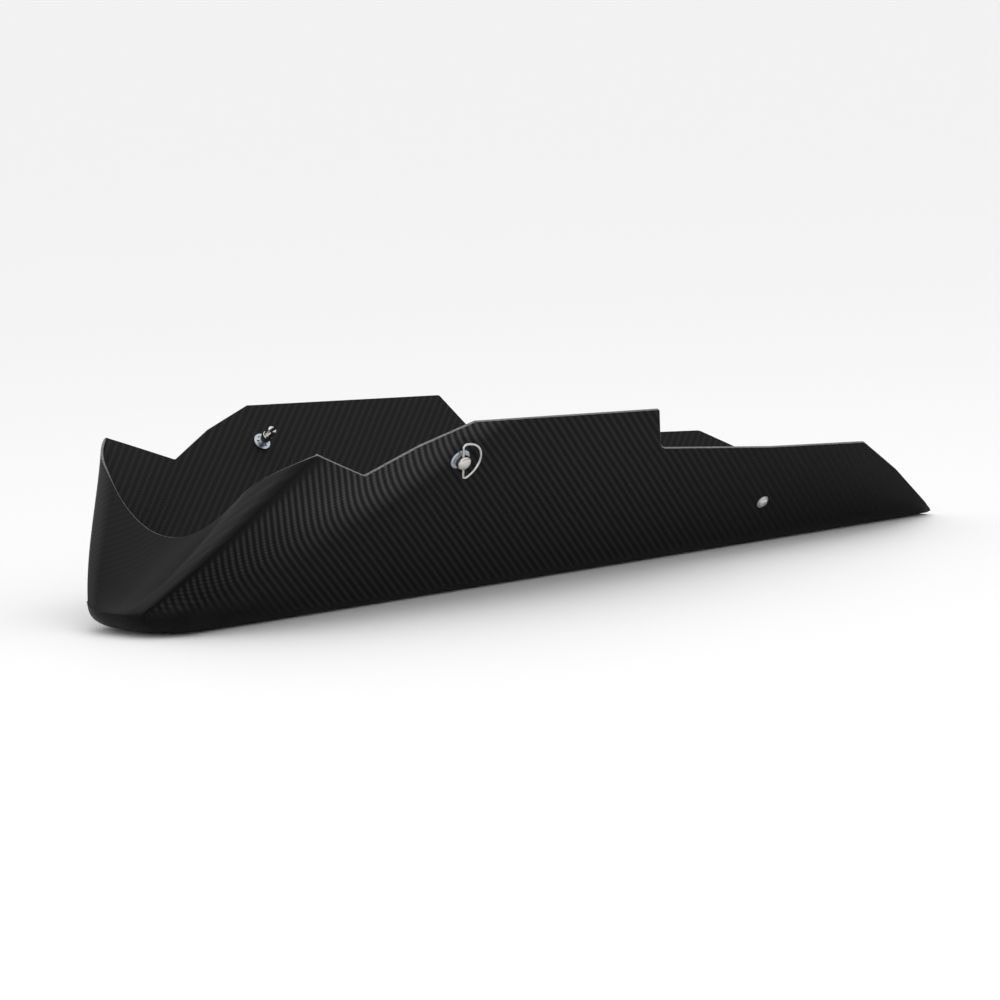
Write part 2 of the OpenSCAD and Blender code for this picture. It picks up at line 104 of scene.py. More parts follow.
def vec(*values):
    return np.array(values, float)


def wall_y(z):
    return FLOOR_HALF + z * math.tan(FLARE)


def bend(a, f, e, s):
    """Curve from a to e that rounds off the corner f."""
    s = np.asarray(s, float)[..., None]
    return (1 - s) ** 2 * a + 2 * s * (1 - s) * f + s * s * e


def rounded(corners, steps=10):
    """Line through (x, height, radius) corners, with an arc at each corner that has a radius."""
    line = []
    for i, (x, h, r) in enumerate(corners):
        here = vec(x, h)
        if not r:
            line.append(here)
            continue
        u = unit(vec(*corners[i - 1][:2]) - here)
        v = unit(vec(*corners[i + 1][:2]) - here)
        half = math.acos(float(u @ v)) / 2
        centre = here + unit(u + v) * r / math.sin(half)
        first = unit(here + u * r / math.tan(half) - centre)
        last = unit(here + v * r / math.tan(half) - centre)
        sweep = math.pi - 2 * half
        for t in np.linspace(0, 1, steps + 1):
            way = math.sin((1 - t) * sweep) * first + math.sin(t * sweep) * last
            line.append(centre + r * way / math.sin(sweep))
    return line


def refined(line, step):
    """The same line with more points, no farther apart than step."""
    out = []
    for a, b in zip(line, line[1:]):
        n = max(1, math.ceil(float(np.linalg.norm(b - a)) / step))
        out += [lerp(a, b, k / n) for k in range(n)]
    return out + [line[-1]]


# Ends of the floor (A), corners (F) and lowest straight points (E) of the fold, crease and middle
LIFT = 2.5
FOLD_A = vec(NOSE - NOSE_RUN - 12, FLOOR_HALF - CHINE - 2, 0)
FOLD_F = vec(NOSE - FOLD_BACK + 3, FLOOR_HALF + 1, 0)
FOLD_E = vec(NOSE - FOLD_BACK, wall_y(LIP_H + LIFT), LIP_H + LIFT)
CREASE_A = vec(NOSE - NOSE_RUN - 5, LIP_HALF / 2, 0)
CREASE_F = vec(NOSE - LIP_BACK + 1, LIP_HALF - 1, 0)
CREASE_E = vec(NOSE - LIP_BACK, LIP_HALF, LIP_H + LIFT)
MIDDLE_A = vec(NOSE - NOSE_RUN, 0, 0)
MIDDLE_F = vec(NOSE, 0, 0)
MIDDLE_E = vec(NOSE, 0, LIP_H)
PEAK_Y = wall_y(PEAK_H) - PEAK_INSET


def fold_point(z):
    z = np.asarray(z, float)
    s = (z - FOLD_E[2]) / (RISE_H - FOLD_E[2])
    x = lerp(FOLD_E[0], RISE_X, s) - 4 * s * (1 - s) * FOLD_SAG
    return np.stack([x, wall_y(z), z], -1)


def crease_swell(s):
    s = np.asarray(s, float)
    bow = 6.75 * s * (1 - s) ** 2 * CREASE_BOW
    return np.stack([0 * bow, bow, 0 * bow], -1)


def crease_point(z):
    s = (np.asarray(z, float) - CREASE_E[2]) / (PEAK_H - CREASE_E[2])
    peak = vec(NOSE - PEAK_X, PEAK_Y, PEAK_H)
    return CREASE_E + (peak - CREASE_E) * s[..., None] + crease_swell(s)


def fold_shift(z, d):
    """Shift that rounds the fold, for points at distance d from it (ahead of it where positive)."""
    z, d = np.broadcast_arrays(np.asarray(z, float), np.asarray(d, float))
    f, c = fold_point(z), crease_point(z)
    gap = np.linalg.norm(c - f, axis=-1)
    ahead = (c - f) / gap[..., None]
    r = np.minimum(FOLD_ROUND, 0.45 * gap)[..., None]
    back = f - r * vec(1, 0, 0)
    s = np.clip((d[..., None] + r) / (2 * r), 0, 1)[..., 0]
    raw = f + np.where(d[..., None] < 0, d[..., None] * vec(1, 0, 0), d[..., None] * ahead)
    return np.where(np.abs(d)[..., None] >= r, 0, bend(back, f, f + r * ahead, s) - raw)


def cloth_shear(d):
    """Shift of the place on the cloth at distance d ahead of the fold."""
    d = np.asarray(d, float)
    run = np.where(d > CLOTH_BLEND, d, np.maximum(d + CLOTH_BLEND, 0) ** 2 / (4 * CLOTH_BLEND))
    return run[..., None] * CLOTH_SHEAR * vec(1, -1)


def wall_v(z):
    """Distance along the cloth from the middle of the floor up to height z of the wall."""
    return FLOOR_HALF - CHINE + BEND_LEN + (z - EDGE_Z) / math.cos(FLARE)


def foot(a, f, e, uv_e, along):
    """Rows round the floor's edge, with their places on the cloth, which runs on from uv_e."""
    s = np.arange(ARC_ROWS) / ARC_ROWS
    pts = bend(a, f, e, s)
    whole = np.vstack([pts, e[None]])
    steps = np.linalg.norm(np.diff(whole, axis=0), axis=1)
    left = steps[::-1].cumsum()[::-1]
    return pts, uv_e - left[:, None] * along


def cloth_way(pts, uv, beside, beside_uv, f):
    """Direction on the cloth from f to a column's first point, by the point's two neighbours."""
    steps = np.stack([pts[1] - pts[0], beside - pts[0]], 1)
    share = np.linalg.lstsq(steps, pts[0] - f, rcond=None)[0]
    return unit(share @ np.stack([uv[1] - uv[0], beside_uv - uv[0]]))


def wall_column(x, h):
    if h < EDGE_Z:
        whole = BEND_LEN * math.sqrt(h / EDGE_Z)
    else:
        whole = BEND_LEN + (h - EDGE_Z) / math.cos(FLARE)
    low = min(BEND_LEN, whole * ARC_ROWS / ROWS)
    round_edge = np.arange(ARC_ROWS) * low / ARC_ROWS
    q = np.concatenate([round_edge, np.linspace(low, whole, UP_ROWS + 1)])
    a, f = vec(x, FLOOR_HALF - CHINE, 0), vec(x, FLOOR_HALF, 0)
    e = vec(x, wall_y(EDGE_Z), EDGE_Z)
    above = np.maximum(q - BEND_LEN, 0)[:, None] * unit(e - f)
    pts = bend(a, f, e, np.minimum(q / BEND_LEN, 1)) + above
    return pts, np.stack([0 * q + x, FLOOR_HALF - CHINE + q], -1)


def fan_point(u, z):
    f = fold_point(z)
    x = lerp(WALL_FOOT, f[..., 0], u)
    return np.stack([x, wall_y(z), z], -1) + fold_shift(z, x - f[..., 0])


def fan_place(u, h):
    """Point of the fan and its place on the cloth."""
    x = lerp(WALL_FOOT, fold_point(h)[..., 0], u)
    return fan_point(u, h), np.stack([x, wall_v(h)], -1) + cloth_shear(x - fold_point(h)[..., 0])


def fan_column(u):
    """Column between the wall's last one (u 0) and the fold (u 1)."""
    z = lerp(EDGE_Z, FOLD_E[2], u ** 6)
    near = lerp(STEP_H, RISE_H, (WALL_FOOT - STEP_X) / (RISE_X - STEP_X))
    top = lerp(near, RISE_H, u)
    h = np.linspace(z, top, UP_ROWS + 1)
    pts, uv = fan_place(u, h)
    a = lerp(vec(WALL_FOOT, FLOOR_HALF - CHINE, 0), FOLD_A, u)
    f = lerp(vec(WALL_FOOT, FLOOR_HALF, 0), FOLD_F, u)
    f = f + fold_shift(z, (1 - u) * (WALL_FOOT - fold_point(z)[0]))
    way = cloth_way(pts, uv, *fan_place(u + 0.01, h[0]), f)
    low, low_uv = foot(a, f, pts[0], uv[0], way)
    return np.vstack([low, pts]), np.vstack([low_uv, uv])


def cheek_uv(p):
    """Place on the cloth of a point of the cheek, which is unfolded about the fold's chord."""
    top = fold_point(RISE_H)
    d = unit(top - FOLD_E)
    out = crease_point(70.0) - FOLD_E
    b = unit(out - d * (out @ d))
    flat = [vec(q[0], wall_v(q[2])) for q in (FOLD_E, top)]
    d2 = unit(flat[1] - flat[0])
    b2 = vec(d2[1], -d2[0])
    rel = p - FOLD_E
    return flat[0] + (rel @ d)[..., None] * d2 + (rel @ b)[..., None] * b2


def cheek_raw(u, z):
    """Point of the cheek before and after the fold's rounding, and its place on the cloth."""
    f, c = fold_point(z), crease_point(z)
    raw = f + (c - f) * u
    wall = np.stack([f[..., 0], wall_v(z)], -1)
    d = u * np.linalg.norm(c - f, axis=-1)
    uv = cheek_uv(raw) + (1 - u) * (wall - cheek_uv(f)) + cloth_shear(d)
    return raw, raw + fold_shift(z, d), uv


def cheek_column(x, h):
    f, c = fold_point(h), crease_point(h)
    u = float((x - f[0]) / (c[0] - f[0]))
    z = lerp(FOLD_E[2], CREASE_E[2], u)
    rows = np.linspace(z, h, UP_ROWS + 1)
    raw, pts, uv = cheek_raw(u, rows)
    f = lerp(FOLD_F, CREASE_F, u) + pts[0] - raw[0]
    way = cloth_way(pts, uv, *cheek_raw(u + 0.01, z)[1:], f)
    low, low_uv = foot(lerp(FOLD_A, CREASE_A, u), f, pts[0], uv[0], way)
    return np.vstack([low, pts]), np.vstack([low_uv, uv])


def sharp_scoop(y):
    if y < SCOOP_HALF:
        return lerp(SCOOP_H, SHOULDER_H, (y / SCOOP_HALF) ** 2)
    return lerp(SHOULDER_H, PEAK_H, (y - SCOOP_HALF) / (PEAK_Y - SCOOP_HALF))


def scoop_edge(w):
    y = w * PEAK_Y
    s = (y - SCOOP_HALF + SCOOP_BLEND) / (2 * SCOOP_BLEND)
    z = sharp_scoop(y)
    if 0 < s < 1:
        ends = [sharp_scoop(SCOOP_HALF + d) for d in (-SCOOP_BLEND, SCOOP_BLEND)]
        z = float(bend(vec(ends[0]), vec(SHOULDER_H), vec(ends[1]), s)[0])
    return vec(NOSE - SCOOP_BACK - (PEAK_X - SCOOP_BACK) / 2 * (w * w + w ** 6), y, z)


def face_column(w):
    """Column of the nose's face, from the middle (w 0) to the crease (w 1)."""
    wider = w ** 3
    e = vec(lerp(MIDDLE_E[0], CREASE_E[0], wider), LIP_HALF * w, lerp(LIP_H, CREASE_E[2], wider))
    f = vec(lerp(MIDDLE_F[0], CREASE_F[0], wider), CREASE_F[1] * w, 0)
    a = vec(lerp(MIDDLE_A[0], CREASE_A[0], w * w), CREASE_A[1] * w, 0)
    s = np.linspace(0, 1, UP_ROWS + 1)
    hollow = 4 * s * (1 - s) * (1 - w) * FACE_HOLLOW
    pts = e + (scoop_edge(w) - e) * s[:, None] + w * crease_swell(s)
    pts -= np.stack([hollow, 0 * hollow, hollow], -1)
    slope = unit(scoop_edge(0) - MIDDLE_E)
    uv = np.stack([pts[:, 1], (pts - MIDDLE_E) @ slope], -1)
    low, low_uv = foot(a, f, pts[0], uv[0], vec(0, 1))
    return np.vstack([low, pts]), np.vstack([low_uv, uv])


def shell_columns():
    """Columns of the left half from the tail to the middle of the nose, and the painted light and
    shade of each.
    """
    edge = refined(rounded(SIDE_CORNERS), SIDE_STEP)
    side = [wall_column(*p) for p in edge if p[0] < WALL_FOOT]
    side += [fan_column(1 - (1 - i / FAN_COLUMNS) ** 1.5) for i in range(FAN_COLUMNS)]
    rim = refined(rounded(CHEEK_CORNERS), RIM_STEP)
    rim[-1:] = [rim[-1] + unit(rim[-2] - rim[-1]) * RIM_GAP]
    side += [cheek_column(*p) for p in rim]
    crease, crease_uv = cheek_column(NOSE - PEAK_X, PEAK_H)
    shares = np.linspace(1 - CREASE_ROUND / PEAK_Y, 0, FACE_COLUMNS)
    faces = [face_column(w) for w in shares]
    _, face_uv = face_column(1.0)
    before, before_uv = side[-1]
    after, after_uv = faces[0]
    for k in range(1, CREASE_COLUMNS):
        t = k / CREASE_COLUMNS
        pts = (1 - t) ** 2 * before + 2 * t * (1 - t) * crease + t * t * after
        if t <= 0.5:
            side.append((pts, lerp(before_uv, crease_uv, 2 * t)))
        if t >= 0.5:
            faces.insert(k - CREASE_COLUMNS // 2, (pts, lerp(face_uv, after_uv, 2 * t - 1)))
    painted_lights = [side_painted_light(pts) for pts, _ in side]
    painted_lights += [face_painted_light(1.0)] * (len(faces) - len(shares) - 1)
    painted_lights += [face_painted_light(w) for w in shares]
    return side, faces, painted_lights


def side_painted_light(pts):
    """Painted light and shade of the side's cloth: a painted sheen along the fold's upper half,
    painted shade towards the tail, beside the crease and low at the nose, and how plain its weave
    is painted where less light picks out the ribs.
    """
    f, c = fold_point(pts[:, 2])[:, 0], crease_point(pts[:, 2])[:, 0]
    d = pts[:, 0] - f
    u = d / (c - f)
    # Painted sheen along the fold, strongest on its upper half just behind it, fading towards the
    # crease
    level = np.interp(pts[:, 2], PAINTED_SHEEN_HEIGHTS, PAINTED_SHEEN_LEVELS)
    painted_fold_sheen = np.interp(d, (-45, -30, -8), (0, 0.45, 1)) * np.interp(u, (0.25, 0.9), (1, 0.35))
    # Painted shade: the cloth is painted darker towards the tail, and its weave plainer there
    rear = np.interp(pts[:, 0], (TAIL, -280, 0), (0.3, 0.5, 1))
    painted_plain_tail = np.interp(pts[:, 0], (-320, -60), (0.65, 0))
    # Low strip at the nose, painted darker and with a plain weave; painted shade also darkens the
    # cloth beside the crease
    low = np.interp(pts[:, 2], (14, 24), (1, 0)) * np.interp(pts[:, 0], (250, 335), (0, 1))
    painted_shade = np.interp(u, (0.84, 0.93, 1), (1, 0.5, 0.25)) * (1 - 0.5 * low)
    # Weave painted plain right beside the crease, where the light picks out no ribs
    beside = np.interp(u, (0.88, 0.96), (0, 1))
    return np.stack([rear * (1 + level * painted_fold_sheen) * painted_shade, np.max([low, painted_plain_tail, beside], 0)], -1)


def face_painted_light(w):
    """Painted light and shade of a column of the nose's face: a painted highlight next to the
    crease, painted shade at the crease, lower down and on the lip, whose weave is painted plain.
    """
    j = np.arange(ROWS + 1)
    rise = (j - ARC_ROWS) / UP_ROWS
    # Painted highlight in a band next to the crease, and painted shade at the crease itself
    light = np.interp(w, (0, 0.6, 0.72, 0.88, 0.93, 1), (0.92, 0.92, 1.9, 2.2, 1.2, 0.5))
    # Painted shade, darker towards the bottom of the face
    light = light * np.interp(rise, (0, 0.3, 0.5, 0.8), (0.7, 0.76, 0.98, 1.05))
    # The lip is painted darker, standing in for a dark reflection, and its weave plain
    lip = np.interp(j, (0, ARC_ROWS - 1, ARC_ROWS + 1), (1, 1, 0))
    return np.stack([light * (1 - 0.85 * lip), lip], -1)


def shell_mesh():
    side, faces, painted_lights = shell_columns()
    crease = len(side) - 1
    half = [p for p, _ in side] + [p for p, _ in faces[1:]]
    side_uv = [uv for _, uv in side]
    face_uv = [uv for _, uv in faces]
    middle = len(half) - 1
    flip = vec(1, -1, 1)
    outer = np.array(half + [p * flip for p in half[middle - 1::-1]])
    last = len(outer) - 1
    painted_lights += painted_lights[middle - 1::-1]

    def uv_at(k, strip):
        """Cloth coordinates of column k in the strip of faces that starts at column strip."""
        col, near, sign = (k, strip, 1) if strip < middle else (last - k, last - strip - 1, -1)
        if near < crease:
            return side_uv[col] * vec(1, sign)
        return face_uv[col - crease] * vec(sign, 1)

    ku = np.arange(last + 1)
    u = outer[np.minimum(ku + 1, last)] - outer[np.maximum(ku - 1, 0)]
    ju = np.arange(ROWS + 1)
    v = outer[:, np.minimum(ju + 1, ROWS)] - outer[:, np.maximum(ju - 1, 0)]
    out = unit(np.cross(v, u))
    out[:, 0] = vec(0, 0, -1)
    inner = outer - LAMINATE * out

    # Broken edges along the cut rim
    edge = unit(u[:, ROWS])
    up = unit(np.cross(edge, out[:, ROWS]))
    up *= np.sign((up * v[:, ROWS]).sum(-1, keepdims=True))
    step = np.linalg.norm(outer[:, ROWS] - outer[:, ROWS - 1], axis=-1, keepdims=True)
    cut = np.minimum(EDGE_BREAK, 0.6 * step)
    rim_out = outer[:, ROWS] - cut * out[:, ROWS]
    rim_in = inner[:, ROWS] + cut * out[:, ROWS]
    outer[:, ROWS] -= cut * up
    inner[:, ROWS] -= cut * up

    n = (last + 1) * (ROWS + 1)
    verts = np.vstack([outer.reshape(-1, 3), inner.reshape(-1, 3), rim_out, rim_in])
    verts[:, 0] = np.maximum(verts[:, 0], TAIL)
    oi = np.arange(n).reshape(last + 1, ROWS + 1)
    ii = oi + n
    ro = 2 * n + ku
    ri = 2 * n + last + 1 + ku
    quads, uvs, slots, corner_painted_lights = [], [], [], []

    # look holds each corner's painted light and shade, (1, 0) where none is painted
    def add(corners, places, slot, look=((1, 0),) * 4):
        quads.append(corners)
        uvs.append(places)
        slots.append(slot)
        corner_painted_lights.extend(look[:len(corners)])

    for k in range(last):
        a, b = uv_at(k, k), uv_at(k + 1, k)
        near = k if k < middle else last - k - 1
        for j in range(ROWS):
            skin = FACE if near >= crease and j >= ARC_ROWS else SIDE
            add((oi[k, j], oi[k + 1, j], oi[k + 1, j + 1], oi[k, j + 1]),
                (a[j], b[j], b[j + 1], a[j + 1]), skin,
                (painted_lights[k][j], painted_lights[k + 1][j], painted_lights[k + 1][j + 1], painted_lights[k][j + 1]))
            add((ii[k, j], ii[k, j + 1], ii[k + 1, j + 1], ii[k + 1, j]),
                (a[j], a[j + 1], b[j + 1], b[j]), BACK)
        top, top_b = a[ROWS], b[ROWS]
        for low, high in ((oi[:, ROWS], ro), (ro, ri), (ri, ii[:, ROWS])):
            add((low[k], low[k + 1], high[k + 1], high[k]), (top, top_b, top_b, top), CUT)
    # The floor, in strips from the left half's columns to the right half's
    for k in range(middle):
        m, m1 = last - k, last - k - 1
        at = [verts[oi[i, 0]][:2] for i in (k, k + 1, m1, m)]
        ring = (oi[k, 0], oi[m, 0], oi[m1, 0], oi[k + 1, 0])
        ring_in = (ii[k, 0], ii[k + 1, 0], ii[m1, 0], ii[m, 0])
        places = (at[0], at[3], at[2], at[1])
        places_in = (at[0], at[1], at[2], at[3])
        if m1 == k + 1:
            ring, places = ring[:3], places[:3]
            ring_in, places_in = (ring_in[0], ring_in[1], ring_in[3]), (at[0], at[1], at[3])
        add(ring, places, SIDE)
        add(ring_in, places_in, BACK)
    # The cut at the tail
    nowhere = ((0, 0),) * 4
    for k, turn in ((0, 1), (last, -1)):
        for j in range(ROWS):
            ring = (oi[k, j], oi[k, j + 1], ii[k, j + 1], ii[k, j])
            add(ring[::turn], nowhere, CUT)
        ring = (oi[k, ROWS], ro[k], ri[k], ii[k, ROWS])
        add(ring[::turn], nowhere, CUT)
    add((oi[0, 0], ii[0, 0], ii[last, 0], oi[last, 0]), nowhere, CUT)

    mesh = bpy.data.meshes.new("pan_laminate")
    mesh.from_pydata((verts * MM).tolist(), [], [tuple(int(i) for i in q) for q in quads])
    layer = mesh.uv_layers.new(name="cloth")
    flat = np.array([p for places in uvs for p in places], float) / CLOTH_SCALE
    layer.data.foreach_set("uv", flat.ravel())
    # UV map that carries the painted light and shade into the cloth's materials
    painted_light_layer = mesh.uv_layers.new(name="look")
    painted_light_layer.data.foreach_set("uv", np.array(corner_painted_lights, float).ravel())
    mesh.polygons.foreach_set("material_index", slots)
    mesh.validate()
    return mesh


def on_wall(x, z, side):
    """Matrix of a place on the wall, in metres: +Z out of the wall and +X forward."""
    m = Matrix.Translation((x * MM, wall_y(z) * MM, z * MM))
    m = m @ Matrix.Rotation(-math.pi / 2 - FLARE, 4, "X")
    return Matrix.Scale(-1, 4, (0, 1, 0)) @ m if side < 0 else m


def link(data, name):
    obj = bpy.data.objects.new(name, data)
    bpy.context.collection.objects.link(obj)
    return obj


# Places of the fixings on the wall, and the lean of the ring's leg
STUD = (NOSE - 238.0, 111.5)
SCREW = (TAIL + 209.0, 36.0)
RING_LEAN = math.radians(20)

# Sizes of the fixings in millimetres; levels run outwards from the outside of the wall
SHANK_R, GROOVE_R, TIP_R = 3.95, 3.35, 3.55
SHANK_TIP, TIP_END, SLOT_END = -22.0, -13.0, -15.5
GROOVE_LOW, GROOVE_HIGH = -4.2, -3.1
SLOT_W, CAM_R = 2.6, 1.8
HEAD_R, HEAD_LOW, DOME_LOW, HEAD_TOP = 6.0, 1.26, 4.9, 8.66
LEG_LEVEL, WIRE_R, WIRE_HOLE_R = 4.22, 1.1, 1.16
MOUTH_R, MOUTH_DEEP, MOUTH_OUT = 2.6, 5.3, 8
DOME_POWER, DOME_STEPS = 0.87, 16
RING_LEN, RING_REACH, RING_CORNER = 36.5, 17.0, 2.4
GROMMET_R, GROMMET_T, BARREL_R, ROLLED_R, ROLLED_LOW, BORE_R = 8.5, 1.2, 5.0, 6.5, -2.8, 4.01
KEEPER_R, KEEPER_LOW, KEEPER_HIGH = 7.0, -3.9, -3.1
SCREW_R, NECK_R, SCREW_TIP, NECK_END, PITCH = 2.5, 2.1, -15.2, -3.8, 0.8
BUTTON_R, BUTTON_H, SOCKET_AF, SOCKET_DEPTH = 4.75, 2.8, 3.0, 1.7
WASHER_R, WASHER_T, PAD_R, PAD_LOW, HOLE_R = 5.5, 0.8, 6.0, -3.5, 2.6


def solid(bm, name):
    mesh = bpy.data.meshes.new(name)
    bm.to_mesh(mesh)
    bm.free()
    return link(mesh, name)


def carve(obj, cutters, material=None):
    """Cuts closed meshes out of an object."""
    for bm in cutters:
        bmesh.ops.recalc_face_normals(bm, faces=bm.faces)
        cutter = solid(bm, "cutter")
        if material:
            cutter.data.materials.append(material)
        mod = obj.modifiers.new("cut", "BOOLEAN")
        mod.operation = "DIFFERENCE"
        mod.solver = "EXACT"
        mod.object = cutter
        bpy.context.view_layer.update()
        evaluated = obj.evaluated_get(bpy.context.evaluated_depsgraph_get())
        mesh = bpy.data.meshes.new_from_object(evaluated)
        obj.modifiers.clear()
        obj.data = mesh
        bpy.data.objects.remove(cutter)


def smooth(mesh, degrees):
    mesh.polygons.foreach_set("use_smooth", [True] * len(mesh.polygons))
    mesh.set_sharp_from_angle(angle=math.radians(degrees))


def rod(r, length, place, segments=64, r2=None):
    """Cylinder or cone about the place's Z axis."""
    bm = bmesh.new()
    bmesh.ops.create_cone(
        bm, cap_ends=True, segments=segments, radius1=r, radius2=r if r2 is None else r2,
        depth=length, matrix=place)
    return bm


def turned(profile, segments=72, bm=None):
    """Turns (radius, level) pairs about Z; a profile off the axis is closed round a bore."""
    bm = bm or bmesh.new()
    angles = [2 * math.pi * k / segments for k in range(segments)]
    rings = [
        [bm.verts.new((r * math.cos(t), r * math.sin(t), z)) for t in angles] for r, z in profile]
    pairs = list(zip(rings, rings[1:]))
    if min(r for r, _ in profile) > 0:
        pairs.append((rings[-1], rings[0]))
    for low, high in pairs:
        for k in range(segments):
            m = (k + 1) % segments
            bm.faces.new((low[k], low[m], high[m], high[k]))
    bmesh.ops.remove_doubles(bm, verts=bm.verts, dist=1e-4)
    bmesh.ops.recalc_face_normals(bm, faces=bm.faces)
    return bm


def eased(corners):
    return rounded(corners, 4)


def seat(obj, place, body, node, key):
    """Puts an object made in millimetres in its place, instead of its CAD node."""
    obj.data.transform(place @ Matrix.Scale(MM, 4))
    if place.determinant() < 0:
        obj.data.flip_normals()
    obj.data.materials.clear()
    obj.data.materials.append(MATS[key])
    smooth(obj.data, 32)
    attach(obj, body)
    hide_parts(node)


def grommet_mesh():
    return turned(eased([
        (BORE_R, ROLLED_LOW + 0.3, 0), (BORE_R + 0.3, ROLLED_LOW, 0.2),
        (ROLLED_R, ROLLED_LOW, 0.35), (ROLLED_R, -LAMINATE, 0), (BARREL_R, -LAMINATE, 0),
        (BARREL_R, 0, 0), (GROMMET_R, 0, 0.1), (GROMMET_R, GROMMET_T / 2, 0.4),
        (GROMMET_R - GROMMET_T, GROMMET_T, 0.9),
        (BORE_R + 0.35, GROMMET_T, 0.25), (BORE_R, GROMMET_T - 0.35, 0),
    ]))


def stud_object():
    rise = HEAD_TOP - DOME_LOW
    dome = [
        (HEAD_R * math.cos(t) ** DOME_POWER, DOME_LOW + rise * math.sin(t) ** DOME_POWER)
        for t in np.linspace(0, math.pi / 2, DOME_STEPS)]
    body = eased([
        (0, SHANK_TIP, 0), (TIP_R - 1, SHANK_TIP, 0.2), (TIP_R, SHANK_TIP + 1, 0.3),
        (TIP_R, TIP_END - 0.4, 0), (SHANK_R, TIP_END, 0.15), (SHANK_R, GROOVE_LOW, 0.1),
        (GROOVE_R, GROOVE_LOW, 0), (GROOVE_R, GROOVE_HIGH, 0), (SHANK_R, GROOVE_HIGH, 0.1),
        (SHANK_R, HEAD_LOW, 0), (HEAD_R, HEAD_LOW, 0.3), (HEAD_R, DOME_LOW - 0.2, 0),
    ])
    obj = solid(turned(body + dome[:-1] + [(0, HEAD_TOP)], 96), "stud")
    turn = Matrix.Rotation(math.pi / 2, 4, "X")
    level = Matrix.Translation((0, 0, LEG_LEVEL))
    half = [(WIRE_HOLE_R, MOUTH_DEEP), (MOUTH_R, MOUTH_OUT), (0, MOUTH_OUT)]
    hole = turned([(r, -z) for r, z in half[::-1]] + half, 40)
    bmesh.ops.transform(hole, matrix=level @ turn, verts=hole.verts)
    slot = bmesh.new()
    depth = SLOT_END - SHANK_TIP + 1
    bmesh.ops.create_cube(slot, size=1, matrix=Matrix.Translation((0, 0, SLOT_END - depth / 2))
                          @ Matrix.Diagonal((16, SLOT_W, depth, 1)))
    cam_place = Matrix.Translation((0, 0, SLOT_END)) @ Matrix.Rotation(math.pi / 2, 4, "Y")
    cam = rod(CAM_R, 16, cam_place, 48)
    carve(obj, (hole, slot, cam))
    return obj


def ring_mesh():
    """Round wire swept along a straight leg, two corners and a bow."""
    reach = RING_REACH - WIRE_R
    half = RING_LEN / 2 - WIRE_R - RING_CORNER
    a = RING_CORNER - reach
    bow_r = (RING_CORNER ** 2 - a * a - half * half) / (2 * (a + RING_CORNER))
    bow_x = reach - bow_r
    turn = math.atan2(half, RING_CORNER - bow_x)

    def arc(x, y, r, start, end, n):
        return [((x + r * math.cos(t), y + r * math.sin(t)), t) for t in np.linspace(start, end, n)]

    path = [((0, y), math.pi) for y in np.linspace(-half, half, 9)[1:-1]]
    path += arc(RING_CORNER, half, RING_CORNER, math.pi, turn, 10)
    path += arc(bow_x, 0, bow_r, turn, -turn, 56)[1:-1]
    path += arc(RING_CORNER, -half, RING_CORNER, -turn, -math.pi, 10)
    bm = bmesh.new()
    sides = 24
    rings = []
    for (x, y), t in path:
        ring = []
        for k in range(sides):
            s = 2 * math.pi * k / sides
            out, up = WIRE_R * math.cos(s), WIRE_R * math.sin(s)
            at = (x + out * math.cos(t), y + out * math.sin(t), LEG_LEVEL + up)
            ring.append(bm.verts.new(at))
        rings.append(ring)
    for i, ring in enumerate(rings):
        after = rings[(i + 1) % len(rings)]
        for k in range(sides):
            m = (k + 1) % sides
            bm.faces.new((ring[k], ring[m], after[m], after[k]))
    bmesh.ops.recalc_face_normals(bm, faces=bm.faces)
    return bm


def keeper_mesh():
    """Push-on ring with six spring teeth round its bore."""
    bm = bmesh.new()
    rows = []
    for k in range(6):
        for part in (-30, -20, -19.8, -10, 0, 10, 19.8, 20):
            t = math.radians(60 * k + part)
            bore = GROOVE_R + 0.02 if abs(part) < 20 else 5.0
            ring = (
                (bore, KEEPER_LOW), (KEEPER_R - 0.15, KEEPER_LOW), (KEEPER_R, KEEPER_LOW + 0.15),
                (KEEPER_R, KEEPER_HIGH - 0.15), (KEEPER_R - 0.15, KEEPER_HIGH), (bore, KEEPER_HIGH))
            rows.append([bm.verts.new((r * math.cos(t), r * math.sin(t), z)) for r, z in ring])
    for i, row in enumerate(rows):
        after = rows[(i + 1) % len(rows)]
        for k in range(6):
            m = (k + 1) % 6
            bm.faces.new((row[k], row[m], after[m], after[k]))
    bmesh.ops.recalc_face_normals(bm, faces=bm.faces)
    return bm


def threaded(bm, segments=64):
    """Right-hand thread of the screw, in rows that follow the helix from its tip to its neck."""
    root = SCREW_R - 0.613 * PITCH
    form = ((0, root), (0.25, root), (0.5625, SCREW_R), (0.6875, SCREW_R))
    turns = math.ceil((NECK_END - SCREW_TIP) / PITCH) + 4
    rows = [(m + at, r) for m in range(turns) for at, r in form]
    grid = []
    for k in range(segments):
        t = 2 * math.pi * k / segments
        column = []
        for at, r in rows:
            z = SCREW_TIP + PITCH * (at - 2 + k / segments)
            z = min(max(z, SCREW_TIP), NECK_END)
            r = min(r, SCREW_R - 0.6 + z - SCREW_TIP)
            r = lerp(NECK_R, r, min(1, (NECK_END - z) / 0.5))
            column.append(bm.verts.new((r * math.cos(t), r * math.sin(t), z)))
        grid.append(column)
    for k in range(segments):
        step = 0 if k + 1 < segments else len(form)
        after = grid[(k + 1) % segments]
        for j in range(len(rows) - 1 - step):
            bm.faces.new((grid[k][j], after[j + step], after[j + 1 + step], grid[k][j + 1]))


